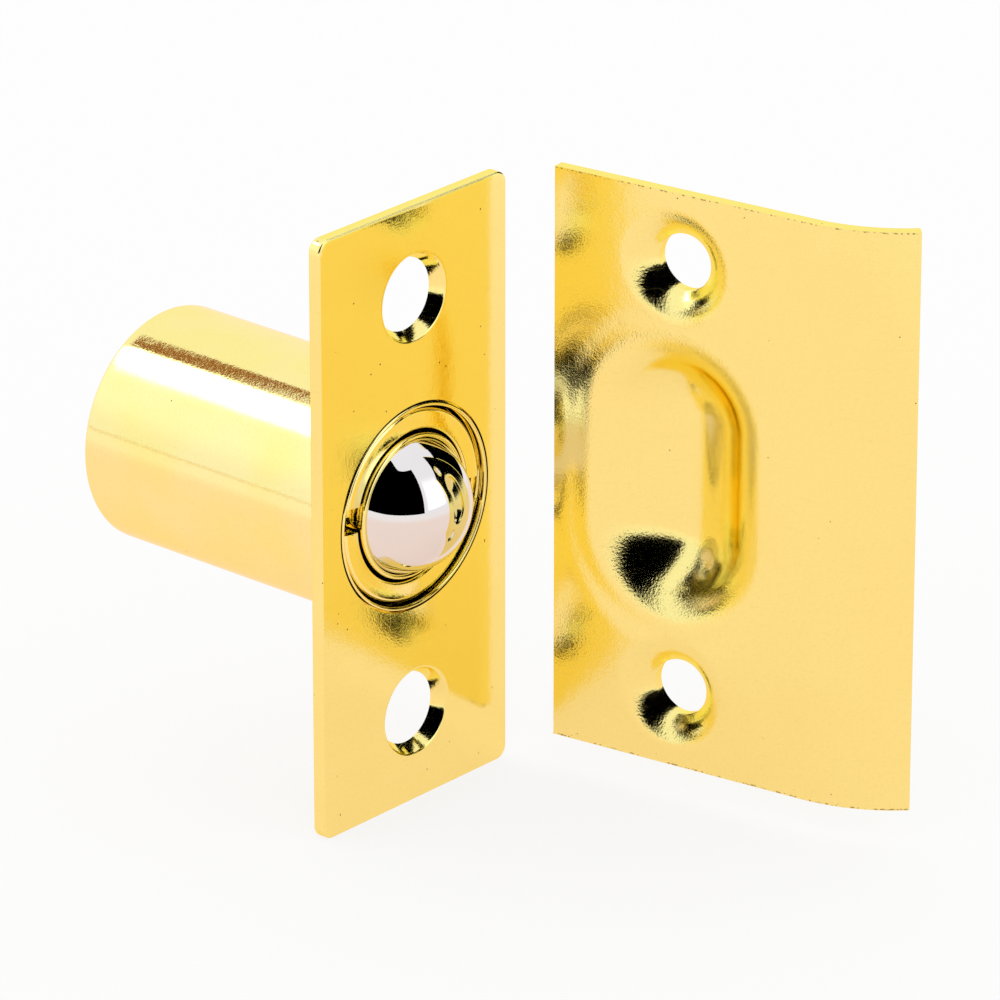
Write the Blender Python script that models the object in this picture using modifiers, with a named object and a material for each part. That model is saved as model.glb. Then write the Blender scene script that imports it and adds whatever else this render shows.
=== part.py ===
"""Adjustable ball catch for a door, with its strike plate.

Frame: metres, +Z up. The origin is on the ball's axis in the plane of the
faceplate's front. +X points out of the door edge, along the ball's axis, and
+Y runs across the faceplate.
"""

import math

import bmesh
import bpy
from mathutils import Vector

# Faceplate, a stamped sheet let into the door edge
FACEPLATE_HEIGHT = 0.05715
FACEPLATE_WIDTH = 0.0246
FACEPLATE_THICKNESS = 0.0013
FACEPLATE_CORNER_RADIUS = 0.0026
FACEPLATE_EDGE_ROUND = 0.0002
FACEPLATE_SCREW_SPACING = 0.0399
SCREW_MOUTH_DIAMETER = 0.0083
SCREW_THROAT_DIAMETER = 0.0076
SCREW_THROAT_DEPTH = 0.0003
SCREW_BACK_DIAMETER = 0.0068

# Case, a drawn cup that is staked into the faceplate
CASE_DIAMETER = 0.0220
CASE_LENGTH = 0.0303
CASE_BORE_DIAMETER = 0.0186
CASE_FLOOR = 0.0012
CASE_REAR_ROUND = 0.0004
CASE_INNER_ROUND = 0.0008
SPIGOT_WALL = 0.00035
SPIGOT_PROUD = 0.0001
SPIGOT_CLEARANCE = 0.00018
SHOULDER_CLEARANCE = 0.0002

# Ball and the cage that traps it
BALL_DIAMETER = 0.0127
BALL_SET_BACK = 0.00155
BALL_CLEARANCE = 0.0001
BALL_TRAVEL = 0.0048
CAGE_WALL = 0.00045
CARTRIDGE_RETREAT = 0.0025
CARTRIDGE_END_CLEARANCE = 0.00155
CAGE_LIP_WRAP = math.radians(11.0)
CAGE_REAR_LIP = 0.0013

# Adjusting ring, screwed into the case round the cage
RING_LENGTH = 0.0050
RING_SET_BACK = 0.0003
RING_CAGE_CLEARANCE = 0.0002
RING_THREAD_CLEARANCE = 0.0003
RING_OUTER_ROUND = 0.00085
RING_INNER_ROUND = 0.00055
RING_REST_TURN = math.radians(-7.0)
RING_SLOT_WIDTH = 0.0024
RING_SLOT_DEPTH = 0.0019

# Spring and the seat that closes the cage
SPRING_WIRE = 0.0010
SPRING_MEAN_DIAMETER = 0.0094
SPRING_PRESSED_PITCH = 0.0014
SPRING_END_PITCH = 1.2
SPRING_SEAT_CLEARANCE = 0.00015
SEAT_THICKNESS = 0.0010
SEAT_CLEARANCE = 0.00015
SEAT_BOSS_HEIGHT = 0.0008
SEAT_BOSS_CLEARANCE = 0.0003

# Strike plate, a pressed sheet with a dished recess and a curved lip
STRIKE_HEIGHT = 0.0551
STRIKE_FLAT_WIDTH = 0.0262
STRIKE_THICKNESS = 0.0011
STRIKE_LIP_RADIUS = 0.0151
STRIKE_LIP_ANGLE = math.radians(38.0)
RECESS_FROM_EDGE = 0.0125
RECESS_WIDTH = 0.0188
RECESS_LENGTH = 0.0290
RECESS_FLOOR_WIDTH = 0.0006
RECESS_WALL_ANGLE = math.radians(45.0)
RECESS_SHOULDER_RADIUS = 0.0050
STRIKE_SCREW_SPACING = 0.0410
STRIKE_HOLE_DIAMETER = 0.0053
DIMPLE_DIAMETER = 0.0114
DIMPLE_WALL_ANGLE = math.radians(48.0)
DIMPLE_SHOULDER_RADIUS = 0.0033

# The strike stands beside the catch, a little higher, turned to face across it
STRIKE_TURN = math.radians(-81.4)
STRIKE_EDGE_X = 0.0044
STRIKE_EDGE_Y = 0.0138
STRIKE_LIFT = 0.0030

# Facets
TURN_STEPS = 64
SEAT_STEPS = 40
BALL_SEGMENTS = 36
BALL_RINGS = 20
CORNER_STEPS = 6
ROUND_STEPS = 4
PRESS_STEPS = 5
LIP_STEPS = 12
RECESS_END_STEPS = 20
DIMPLE_STEPS = 28
SPRING_STEPS_PER_TURN = 12
SPRING_BEVEL_RESOLUTION = 2
CUT_MARGIN = 0.001
MERGE_DISTANCE = 1e-6

# Radii and places worked out from the sizes above
CASE_RADIUS = CASE_DIAMETER / 2
BORE_RADIUS = CASE_BORE_DIAMETER / 2
SPIGOT_RADIUS = BORE_RADIUS + SPIGOT_WALL
PLATE_HOLE_RADIUS = SPIGOT_RADIUS + SPIGOT_CLEARANCE
SHOULDER_X = -FACEPLATE_THICKNESS - SHOULDER_CLEARANCE
BALL_RADIUS = BALL_DIAMETER / 2
BALL_X = -BALL_SET_BACK
CAGE_INNER_RADIUS = BALL_RADIUS + BALL_CLEARANCE
CAGE_OUTER_RADIUS = CAGE_INNER_RADIUS + CAGE_WALL
CAGE_REAR_X = -CASE_LENGTH + CASE_FLOOR + CARTRIDGE_END_CLEARANCE + CARTRIDGE_RETREAT
RING_INNER_RADIUS = CAGE_OUTER_RADIUS + RING_CAGE_CLEARANCE
RING_OUTER_RADIUS = BORE_RADIUS - RING_THREAD_CLEARANCE
SEAT_REAR_X = CAGE_REAR_X + CAGE_WALL + SEAT_CLEARANCE
SEAT_FRONT_X = SEAT_REAR_X + SEAT_THICKNESS
SPRING_RADIUS = SPRING_MEAN_DIAMETER / 2
SPRING_REAR_X = SEAT_FRONT_X + SPRING_WIRE / 2 + SPRING_SEAT_CLEARANCE
SPRING_BALL_REACH = BALL_RADIUS + SPRING_WIRE / 2 + SPRING_SEAT_CLEARANCE
SPRING_FRONT_X = BALL_X - math.sqrt(SPRING_BALL_REACH**2 - SPRING_RADIUS**2)
SPRING_CLOSED_RISE = SPRING_END_PITCH * SPRING_WIRE
SPRING_OPEN_LENGTH = SPRING_FRONT_X - SPRING_REAR_X - 2 * SPRING_CLOSED_RISE
SPRING_ACTIVE_TURNS = int((SPRING_OPEN_LENGTH - BALL_TRAVEL) / SPRING_PRESSED_PITCH)
STRIKE_BASE_Z = -FACEPLATE_HEIGHT / 2 + STRIKE_LIFT
AXIS_ALONG_X = (0.0, math.pi / 2, 0.0)
SHEET_FACING_X = (math.pi / 2, 0.0, math.pi / 2)


def clear_scene():
    for obj in list(bpy.data.objects):
        bpy.data.objects.remove(obj, do_unlink=True)


def new_collection(name):
    collection = bpy.data.collections.new(name)
    bpy.context.scene.collection.children.link(collection)
    return collection


def metal(name, colour, roughness):
    material = bpy.data.materials.new(name)
    material.use_nodes = True
    shader = material.node_tree.nodes["Principled BSDF"]
    shader.inputs["Base Color"].default_value = (*colour, 1.0)
    shader.inputs["Metallic"].default_value = 1.0
    shader.inputs["Roughness"].default_value = roughness
    return material


def add_object(name, data, collection, material=None):
    obj = bpy.data.objects.new(name, data)
    collection.objects.link(obj)
    if material:
        data.materials.append(material)
    return obj


def as_cutter(obj):
    obj.hide_render = True
    obj.display_type = "WIRE"
    return obj


def cut(obj, cutter):
    modifier = obj.modifiers.new("Cut " + cutter.name, "BOOLEAN")
    modifier.operation = "DIFFERENCE"
    modifier.object = cutter


def arc(centre, radius, start, end, steps=ROUND_STEPS):
    """Points (x, r) on an arc; angles run from +x towards +r."""
    points = []
    for step in range(steps + 1):
        angle = start + (end - start) * step / steps
        points.append((centre[0] + radius * math.cos(angle), centre[1] + radius * math.sin(angle)))
    return points


def turned(name, profile, collection, material=None, steps=TURN_STEPS):
    """A body turned about X from (x, r) points, its outer side running front to rear."""
    mesh = bpy.data.meshes.new(name)
    points = [(r, 0.0, x) for x, r in profile]
    edges = [(index, index + 1) for index in range(len(points) - 1)]
    if profile[0][1] > 0 and profile[-1][1] > 0:
        edges.append((len(points) - 1, 0))
    mesh.from_pydata(points, edges, [])
    obj = add_object(name, mesh, collection, material)
    obj.rotation_euler = AXIS_ALONG_X
    screw = obj.modifiers.new("Turn", "SCREW")
    screw.steps = steps
    screw.render_steps = steps
    screw.use_merge_vertices = True
    screw.merge_threshold = MERGE_DISTANCE
    return obj


def rounded_rectangle(width, height, radius):
    points = []
    corners = ((1, 1, 0), (-1, 1, 1), (-1, -1, 2), (1, -1, 3))
    for side, end, quarter in corners:
        centre = (side * (width / 2 - radius), end * (height / 2 - radius))
        start = quarter * math.pi / 2
        points += arc(centre, radius, start, start + math.pi / 2, CORNER_STEPS)
    return points


def mesh_from_curve(curve_object, collection, material):
    """The same shape as a welded mesh object, which can be cut."""
    graph = bpy.context.evaluated_depsgraph_get()
    mesh = bpy.data.meshes.new_from_object(curve_object.evaluated_get(graph))
    shell = bmesh.new()
    shell.from_mesh(mesh)
    bmesh.ops.remove_doubles(shell, verts=shell.verts, dist=MERGE_DISTANCE)
    shell.to_mesh(mesh)
    shell.free()
    name = curve_object.name
    matrix = curve_object.matrix_world.copy()
    bpy.data.objects.remove(curve_object)
    mesh.materials.clear()
    obj = add_object(name, mesh, collection, material)
    obj.matrix_world = matrix
    return obj


def make_faceplate(collection, cutters, material):
    curve = bpy.data.curves.new("faceplate", "CURVE")
    curve.dimensions = "2D"
    curve.fill_mode = "BOTH"
    curve.extrude = FACEPLATE_THICKNESS / 2
    outline = rounded_rectangle(FACEPLATE_WIDTH, FACEPLATE_HEIGHT, FACEPLATE_CORNER_RADIUS)
    spline = curve.splines.new("POLY")
    spline.points.add(len(outline) - 1)
    for point, (across, up) in zip(spline.points, outline):
        point.co = (across, up, 0.0, 1.0)
    spline.use_cyclic_u = True
    blank = add_object("faceplate", curve, collection)
    blank.rotation_euler = SHEET_FACING_X
    blank.location.x = -FACEPLATE_THICKNESS / 2
    bpy.context.view_layer.update()
    plate = mesh_from_curve(blank, collection, material)
    bevel = plate.modifiers.new("Edge round", "BEVEL")
    bevel.width = FACEPLATE_EDGE_ROUND
    bevel.segments = 2

    back = -FACEPLATE_THICKNESS - CUT_MARGIN
    hole = [(CUT_MARGIN, 0.0), (CUT_MARGIN, PLATE_HOLE_RADIUS), (back, PLATE_HOLE_RADIUS), (back, 0.0)]
    cut(plate, as_cutter(turned("case_hole", hole, cutters)))

    mouth = SCREW_MOUTH_DIAMETER / 2
    throat = SCREW_THROAT_DIAMETER / 2
    rear = SCREW_BACK_DIAMETER / 2
    screw_hole = [
        (CUT_MARGIN, 0.0),
        (CUT_MARGIN, mouth),
        (0.0, mouth),
        (-SCREW_THROAT_DEPTH, throat),
        (-FACEPLATE_THICKNESS, rear),
        (back, rear),
        (back, 0.0),
    ]
    for side in (1, -1):
        cutter = as_cutter(turned(f"screw_hole_{side}", screw_hole, cutters, steps=DIMPLE_STEPS))
        cutter.location.z = side * FACEPLATE_SCREW_SPACING / 2
        cut(plate, cutter)
    return plate


def make_case(collection, material):
    """A cup: bore, rounded rim, spigot through the faceplate, shoulder, barrel, floor."""
    floor = -CASE_LENGTH + CASE_FLOOR
    rim = (SPIGOT_PROUD - SPIGOT_WALL / 2, BORE_RADIUS + SPIGOT_WALL / 2)
    inner_corner = (floor + CASE_INNER_ROUND, BORE_RADIUS - CASE_INNER_ROUND)
    front_corner = (SHOULDER_X - CASE_REAR_ROUND, CASE_RADIUS - CASE_REAR_ROUND)
    rear_corner = (-CASE_LENGTH + CASE_REAR_ROUND, CASE_RADIUS - CASE_REAR_ROUND)
    profile = [(floor, 0.0)]
    profile += arc(inner_corner, CASE_INNER_ROUND, math.pi, math.pi / 2)
    profile += arc(rim, SPIGOT_WALL / 2, -math.pi / 2, math.pi / 2)
    profile += [(SHOULDER_X, SPIGOT_RADIUS)]
    profile += arc(front_corner, CASE_REAR_ROUND, 0.0, math.pi / 2)
    profile += arc(rear_corner, CASE_REAR_ROUND, math.pi / 2, math.pi)
    profile += [(-CASE_LENGTH, 0.0)]
    return turned("case", profile, collection, material)


def make_adjusting_ring(collection, cutters, material):
    """A ring with a rounded face and two slots that a screwdriver turns."""
    crest = -RING_SET_BACK
    rear = crest - RING_LENGTH
    inner = (crest - RING_INNER_ROUND, RING_INNER_RADIUS + RING_INNER_ROUND)
    outer = (crest - RING_OUTER_ROUND, RING_OUTER_RADIUS - RING_OUTER_ROUND)
    profile = arc(inner, RING_INNER_ROUND, -math.pi / 2, 0.0)
    profile += arc(outer, RING_OUTER_ROUND, 0.0, math.pi / 2)
    profile += [(rear, RING_OUTER_RADIUS), (rear, RING_INNER_RADIUS)]
    ring = turned("adjusting_ring", profile, collection, material)

    bpy.ops.mesh.primitive_cube_add(size=1.0)
    slot = bpy.context.object
    slot.name = "ring_slot"
    for owner in list(slot.users_collection):
        owner.objects.unlink(slot)
    cutters.objects.link(slot)
    depth = RING_SLOT_DEPTH + CUT_MARGIN
    slot.scale = (depth, 2 * RING_OUTER_RADIUS + 2 * CUT_MARGIN, RING_SLOT_WIDTH)
    slot.location.x = crest - RING_SLOT_DEPTH + depth / 2
    slot.rotation_euler.x = RING_REST_TURN
    cut(ring, as_cutter(slot))
    return ring


def make_cage(collection, material):
    """A drawn sleeve whose front lip wraps over the ball and whose rear holds the seat."""
    middle = (CAGE_INNER_RADIUS + CAGE_OUTER_RADIUS) / 2
    wrap = math.pi / 2 - CAGE_LIP_WRAP
    lip_end = (BALL_X + middle * math.cos(wrap), middle * math.sin(wrap))
    centre = (BALL_X, 0.0)
    corner = (CAGE_REAR_X + CAGE_WALL, CAGE_OUTER_RADIUS - CAGE_WALL)
    rear_lip = CAGE_OUTER_RADIUS - CAGE_REAR_LIP
    profile = arc(lip_end, CAGE_WALL / 2, wrap - math.pi, wrap)
    profile += arc(centre, CAGE_OUTER_RADIUS, wrap, math.pi / 2)[1:]
    profile += arc(corner, CAGE_WALL, math.pi / 2, math.pi)
    profile += [
        (CAGE_REAR_X, rear_lip),
        (CAGE_REAR_X + CAGE_WALL, rear_lip),
        (CAGE_REAR_X + CAGE_WALL, CAGE_INNER_RADIUS),
    ]
    profile += arc(centre, CAGE_INNER_RADIUS, math.pi / 2, wrap)[:-1]
    return turned("ball_cage", profile, collection, material)


def make_ball(collection, material):
    mesh = bpy.data.meshes.new("ball")
    shell = bmesh.new()
    bmesh.ops.create_uvsphere(shell, u_segments=BALL_SEGMENTS, v_segments=BALL_RINGS, radius=BALL_RADIUS)
    shell.to_mesh(mesh)
    shell.free()
    mesh.shade_smooth()
    ball = add_object("ball", mesh, collection, material)
    ball.location.x = BALL_X
    ball.rotation_euler = AXIS_ALONG_X
    return ball


def spring_path():
    """Helix points with one closed turn at each end."""
    active_rise = SPRING_OPEN_LENGTH / SPRING_ACTIVE_TURNS
    rises = [SPRING_CLOSED_RISE] + [active_rise] * SPRING_ACTIVE_TURNS + [SPRING_CLOSED_RISE]
    points = []
    x = SPRING_REAR_X
    for turn, rise in enumerate(rises):
        for step in range(SPRING_STEPS_PER_TURN):
            part = step / SPRING_STEPS_PER_TURN
            angle = 2 * math.pi * (turn + part)
            y = SPRING_RADIUS * math.cos(angle)
            z = SPRING_RADIUS * math.sin(angle)
            points.append(Vector((x + rise * part, y, z)))
        x += rise
    points.append(Vector((x, SPRING_RADIUS, 0.0)))
    return points


def make_spring(collection, material):
    curve = bpy.data.curves.new("spring", "CURVE")
    curve.dimensions = "3D"
    curve.bevel_depth = SPRING_WIRE / 2
    curve.bevel_resolution = SPRING_BEVEL_RESOLUTION
    curve.use_fill_caps = True
    path = spring_path()
    spline = curve.splines.new("POLY")
    spline.points.add(len(path) - 1)
    for point, place in zip(spline.points, path):
        point.co = (place.x - SPRING_REAR_X, place.y, place.z, 1.0)
    spring = add_object("spring", curve, collection, material)
    spring.location.x = SPRING_REAR_X
    return spring


def make_spring_seat(collection, material):
    boss_front = SEAT_FRONT_X + SEAT_BOSS_HEIGHT
    boss_radius = SPRING_RADIUS - SPRING_WIRE / 2 - SEAT_BOSS_CLEARANCE
    disc_radius = CAGE_INNER_RADIUS - SEAT_CLEARANCE
    profile = [
        (boss_front, 0.0),
        (boss_front, boss_radius),
        (SEAT_FRONT_X, boss_radius),
        (SEAT_FRONT_X, disc_radius),
        (SEAT_REAR_X, disc_radius),
        (SEAT_REAR_X, 0.0),
    ]
    return turned("spring_seat", profile, collection, material, steps=SEAT_STEPS)


def shoulder_arc(radius, wall_angle):
    """(inset, drop) points where flat sheet rolls over into a pressed wall.

    The inset is measured inwards from the pressing's outer outline.
    """
    points = []
    for step in range(PRESS_STEPS + 1):
        angle = wall_angle * step / PRESS_STEPS
        points.append((radius * math.sin(angle), radius * (1 - math.cos(angle))))
    return points


def recess_section():
    """(inset, drop) points down the bowl: its shoulder, then one sweep to the floor."""
    run = (RECESS_WIDTH - RECESS_FLOOR_WIDTH) / 2
    sweep = run / math.sin(RECESS_WALL_ANGLE) - RECESS_SHOULDER_RADIUS
    points = shoulder_arc(RECESS_SHOULDER_RADIUS, RECESS_WALL_ANGLE)
    floor_drop = points[-1][1] + sweep * (1 - math.cos(RECESS_WALL_ANGLE))
    for step in range(1, PRESS_STEPS + 1):
        angle = RECESS_WALL_ANGLE * (1 - step / PRESS_STEPS)
        points.append((run - sweep * math.sin(angle), floor_drop - sweep * (1 - math.cos(angle))))
    return points


def dimple_section():
    """(inset, drop) points down a screw dimple: its shoulder, then a cone to the hole."""
    run = (DIMPLE_DIAMETER - STRIKE_HOLE_DIAMETER) / 2
    points = shoulder_arc(DIMPLE_SHOULDER_RADIUS, DIMPLE_WALL_ANGLE)
    inset, drop = points[-1]
    points.append((run, drop + (run - inset) * math.tan(DIMPLE_WALL_ANGLE)))
    return points


def stadium(half_width, half_length):
    """Outline (across, up) of a slot with round ends."""
    reach = half_length - half_width
    points = []
    for end in (1, -1):
        for step in range(RECESS_END_STEPS + 1):
            angle = math.pi * step / RECESS_END_STEPS
            points.append((end * half_width * math.cos(angle), end * (reach + half_width * math.sin(angle))))
    return points


def circle(radius, centre_up):
    points = []
    for step in range(DIMPLE_STEPS):
        angle = 2 * math.pi * step / DIMPLE_STEPS
        points.append((radius * math.cos(angle), centre_up + radius * math.sin(angle)))
    return points


def add_loop(shell, outline, drop):
    verts = [shell.verts.new((-drop, across, up)) for across, up in outline]
    return [shell.edges.new((verts[index - 1], verts[index])) for index in range(len(verts))]


def press_wall(shell, outline_at, section):
    """Rings joined down a pressed wall; returns its outermost and innermost edges."""
    loops = [add_loop(shell, outline_at(inset), drop) for inset, drop in section]
    for upper, lower in zip(loops, loops[1:]):
        bmesh.ops.bridge_loops(shell, edges=upper + lower)
    return loops[0], loops[-1]


def bend_lip(shell, top, bottom, start):
    """The curved lip: strips along an arc that turns away from the front."""
    previous = (top, bottom)
    for step in range(1, LIP_STEPS + 1):
        angle = STRIKE_LIP_ANGLE * step / LIP_STEPS
        across = start + STRIKE_LIP_RADIUS * math.sin(angle)
        back = -STRIKE_LIP_RADIUS * (1 - math.cos(angle))
        strip = [shell.verts.new((back, across, vert.co.z)) for vert in (top, bottom)]
        shell.faces.new((previous[0], previous[1], strip[1], strip[0]))
        previous = strip


def make_strike_plate(collection, material):
    """One pressed sheet: its front surface is modelled and thickened backwards."""
    shell = bmesh.new()
    recess_rim, recess_floor = press_wall(
        shell,
        lambda inset: stadium(RECESS_WIDTH / 2 - inset, RECESS_LENGTH / 2 - inset),
        recess_section(),
    )
    bmesh.ops.triangle_fill(shell, edges=recess_floor, use_beauty=True)

    web_edges = list(recess_rim)
    for side in (1, -1):
        height = side * STRIKE_SCREW_SPACING / 2
        dimple_rim, _ = press_wall(
            shell,
            lambda inset, height=height: circle(DIMPLE_DIAMETER / 2 - inset, height),
            dimple_section(),
        )
        web_edges += dimple_rim

    left = -RECESS_FROM_EDGE
    right = STRIKE_FLAT_WIDTH - RECESS_FROM_EDGE
    top = STRIKE_HEIGHT / 2
    corners = ((left, -top), (right, -top), (right, top), (left, top))
    border = add_loop(shell, corners, 0.0)
    web_edges += border
    bmesh.ops.triangle_fill(shell, edges=web_edges, use_beauty=True)

    bend_edge = border[2]
    lower, upper = sorted(bend_edge.verts, key=lambda vert: vert.co.z)
    bend_lip(shell, upper, lower, right)
    bmesh.ops.recalc_face_normals(shell, faces=shell.faces)
    if sum(face.normal.x * face.calc_area() for face in shell.faces) < 0:
        bmesh.ops.reverse_faces(shell, faces=shell.faces)

    mesh = bpy.data.meshes.new("strike_plate")
    shell.to_mesh(mesh)
    shell.free()
    mesh.shade_smooth()
    strike = add_object("strike_plate", mesh, collection, material)
    sheet = strike.modifiers.new("Sheet", "SOLIDIFY")
    sheet.thickness = STRIKE_THICKNESS
    sheet.offset = -1.0
    sheet.use_even_offset = True
    return strike


def place_strike(strike, base):
    """The strike's free edge and its base stand at their own place beside the catch."""
    base.location = (STRIKE_EDGE_X, STRIKE_EDGE_Y, STRIKE_BASE_Z)
    base.rotation_euler.z = STRIKE_TURN
    strike.parent = base
    strike.location = (0.0, RECESS_FROM_EDGE, STRIKE_HEIGHT / 2)


def build():
    clear_scene()
    parts = new_collection("ball_catch")
    cutters = new_collection("cutters")
    gold = metal("bright brass plate", (1.0, 0.67, 0.16), 0.15)
    chrome = metal("polished steel", (0.80, 0.78, 0.76), 0.05)
    steel = metal("spring steel", (0.45, 0.45, 0.46), 0.35)

    catch = bpy.data.objects.new("catch_frame", None)
    strike_base = bpy.data.objects.new("strike_frame", None)
    parts.objects.link(catch)
    parts.objects.link(strike_base)

    pieces = [
        make_faceplate(parts, cutters, gold),
        make_case(parts, gold),
        make_adjusting_ring(parts, cutters, gold),
        make_cage(parts, gold),
        make_ball(parts, chrome),
        make_spring(parts, steel),
        make_spring_seat(parts, steel),
    ]
    for piece in pieces:
        piece.parent = catch
    place_strike(make_strike_plate(parts, gold), strike_base)
    bpy.context.view_layer.update()


build()
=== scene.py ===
"""Looks of the ball catch and its strike plate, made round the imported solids. Lengths are in metres."""

import math

import bmesh
import bpy
from mathutils import Matrix, Vector


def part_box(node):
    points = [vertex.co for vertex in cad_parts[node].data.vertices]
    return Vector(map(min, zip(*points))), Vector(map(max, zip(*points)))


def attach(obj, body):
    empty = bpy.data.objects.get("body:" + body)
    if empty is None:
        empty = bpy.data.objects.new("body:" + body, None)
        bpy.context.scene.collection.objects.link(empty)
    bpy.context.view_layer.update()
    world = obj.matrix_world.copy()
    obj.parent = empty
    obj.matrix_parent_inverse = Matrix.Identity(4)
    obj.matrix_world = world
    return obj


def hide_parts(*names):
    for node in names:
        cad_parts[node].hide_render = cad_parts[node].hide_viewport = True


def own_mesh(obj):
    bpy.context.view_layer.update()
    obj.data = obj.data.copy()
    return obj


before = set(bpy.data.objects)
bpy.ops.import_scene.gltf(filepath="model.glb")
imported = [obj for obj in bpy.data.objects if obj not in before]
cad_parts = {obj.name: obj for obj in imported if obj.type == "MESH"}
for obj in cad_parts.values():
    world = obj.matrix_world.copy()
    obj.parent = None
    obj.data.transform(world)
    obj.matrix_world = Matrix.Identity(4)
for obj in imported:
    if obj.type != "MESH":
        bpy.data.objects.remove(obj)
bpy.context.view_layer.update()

# Camera, solved from the photograph's straight edges and round rims
CAMERA_PLACE = Vector((0.43728, -0.48717, 0.27742))
CAMERA_TURN = math.radians(41.25)
CAMERA_PITCH = math.radians(22.92)
CAMERA_LENS = 288.0
CAMERA_SENSOR = 36.0
CAMERA_CLIP_START = 0.05
CAMERA_CLIP_END = 20.0

# Facets of the smooth pieces
TURN_STEPS = 240
ROUND_STEPS = 8
LONGEST_STEP = 0.0009
SHEET_STEP = 0.0003
CORNER_STEPS = 14
RIM_STEPS = 5
BALL_STEPS = 120
BALL_POLE_GAP = 0.001
# Rows round a hole in a sheet: their least number, how many sheet steps one takes, and how much
# closer together they stand at the hole
CELL_LEAST_ROWS = 4
CELL_ROW_STEP = 1.6
CELL_CROWDING = 1.15
WHOLE_SLACK = 1e-6
SAME_PLACE = 1e-9
WELD_DISTANCE = 2e-7
SLOPE_STEP = 0.00002
CUT_MARGIN = 0.001
SHEET_SHARP_ANGLE = math.radians(35)

# Faceplate
PLATE_LOW, PLATE_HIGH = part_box("faceplate")
PLATE_THICKNESS = PLATE_HIGH.x - PLATE_LOW.x
PLATE_WIDTH = PLATE_HIGH.y - PLATE_LOW.y
PLATE_HEIGHT = PLATE_HIGH.z - PLATE_LOW.z
PLATE_CORNER = 0.0012
PLATE_EDGE_ROUND = 0.0002
PLATE_SCREW_SPACING = 0.0399
PLATE_HOLE_RADIUS = 0.00983
SCREW_MOUTH_RADIUS = 0.00415
SCREW_BACK_RADIUS = 0.0034
SCREW_MOUTH_ROUND = 0.00016
# How far inwards and how deep the mouth's rounding is at its points, in shares of its size
SCREW_MOUTH_SECTION = ((-0.5, 0.0), (0.0, 0.15), (0.4, 0.5), (0.7, 1.0))
HOLE_STEPS = 6
# Where the faceplate's middle cell, with the case's hole, meets the two with the screw holes
CELL_SPLIT = 0.0128

# Case
CASE_LOW, CASE_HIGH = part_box("case")
CASE_RADIUS = (CASE_HIGH.y - CASE_LOW.y) / 2
BORE_RADIUS = 0.0093
SPIGOT_WALL = 0.00035
CASE_FLOOR = 0.0012
CASE_ROUND = 0.0004
CASE_INNER_ROUND = 0.0008
SHOULDER_GAP = 0.0002
# A profile ends this far from the axis, so that its last faces have some size
AXIS_RADIUS = 0.00001
THREAD_PITCH = 0.00125
THREAD_DEPTH = 0.00016
THREAD_SHARE = 0.30
THREAD_STEP = 0.00008
BORE_THREAD_REAR = -0.0065

# Ball, cage and adjusting ring
BALL_LOW, BALL_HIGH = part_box("ball")
BALL_RADIUS = (BALL_HIGH.x - BALL_LOW.x) / 2
BALL_X = (BALL_HIGH.x + BALL_LOW.x) / 2
CAGE_LOW, CAGE_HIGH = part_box("ball_cage")
CAGE_RADIUS = (CAGE_HIGH.y - CAGE_LOW.y) / 2
CAGE_WALL = 0.00045
CAGE_REAR_LIP = 0.0013
CAGE_LIP_WRAP = math.radians(11.0)
RING_LOW, RING_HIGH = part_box("adjusting_ring")
RING_RADIUS = (RING_HIGH.y - RING_LOW.y) / 2
RING_CAGE_GAP = 0.0002
RING_BORE_RADIUS = CAGE_RADIUS + RING_CAGE_GAP
RING_OUTER_ROUND = 0.0004
RING_INNER_ROUND = 0.00025
RING_TURN = math.radians(-7.0)
RING_SLOT_WIDTH = 0.0024
RING_SLOT_DEPTH = 0.0019
RING_BEVEL = 0.00008
RING_BEVEL_STEPS = 2
RING_BEVEL_ANGLE = math.radians(50)
RING_SHARP_ANGLE = math.radians(40)

# Spring and its seat
SPRING_LOW, SPRING_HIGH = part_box("spring")
SPRING_WIRE = 0.0010
SPRING_TURNS = 8
SPRING_END_PITCH = 1.2 * SPRING_WIRE
SPRING_STEPS_PER_TURN = 40
SPRING_ROUND_STEPS = 5
SPRING_SHARP_ANGLE = math.radians(50)

# Strike plate
STRIKE_TURN = math.radians(-81.4)
STRIKE_EDGE = Vector((0.0044, 0.0138, 0.0))
STRIKE_LOW, STRIKE_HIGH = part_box("strike_plate")
STRIKE_HEIGHT = STRIKE_HIGH.z - STRIKE_LOW.z
STRIKE_FLAT_WIDTH = 0.0262
STRIKE_THICKNESS = 0.0011
STRIKE_LIP_RADIUS = 0.0151
STRIKE_LIP_ANGLE = math.radians(38.0)
RECESS_FROM_EDGE = 0.0125
RECESS_HALF_WIDTH = 0.0094
RECESS_HALF_LENGTH = 0.0145
RECESS_RUN = 0.0091
RECESS_ANGLE = math.radians(45.0)
RECESS_SHOULDER = 0.0050
RECESS_TOE = RECESS_RUN / math.sin(RECESS_ANGLE) - RECESS_SHOULDER
# The slight hollow that pressing the recess draws into the sheet round it
DRAW_DEPTH = 0.00012
DRAW_REACH = 0.0030
DIMPLE_RADIUS = 0.0057
DIMPLE_RUN = 0.00305
DIMPLE_ANGLE = math.radians(48.0)
DIMPLE_SHOULDER = 0.0033
DIMPLE_TOE = 0.00005
STRIKE_HOLE_RADIUS = 0.00265
STRIKE_SCREW_SPACING = 0.0410
# Where the strike's middle cell, with the recess, meets the two with the dimples
STRIKE_SPLIT = 0.0150

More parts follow.
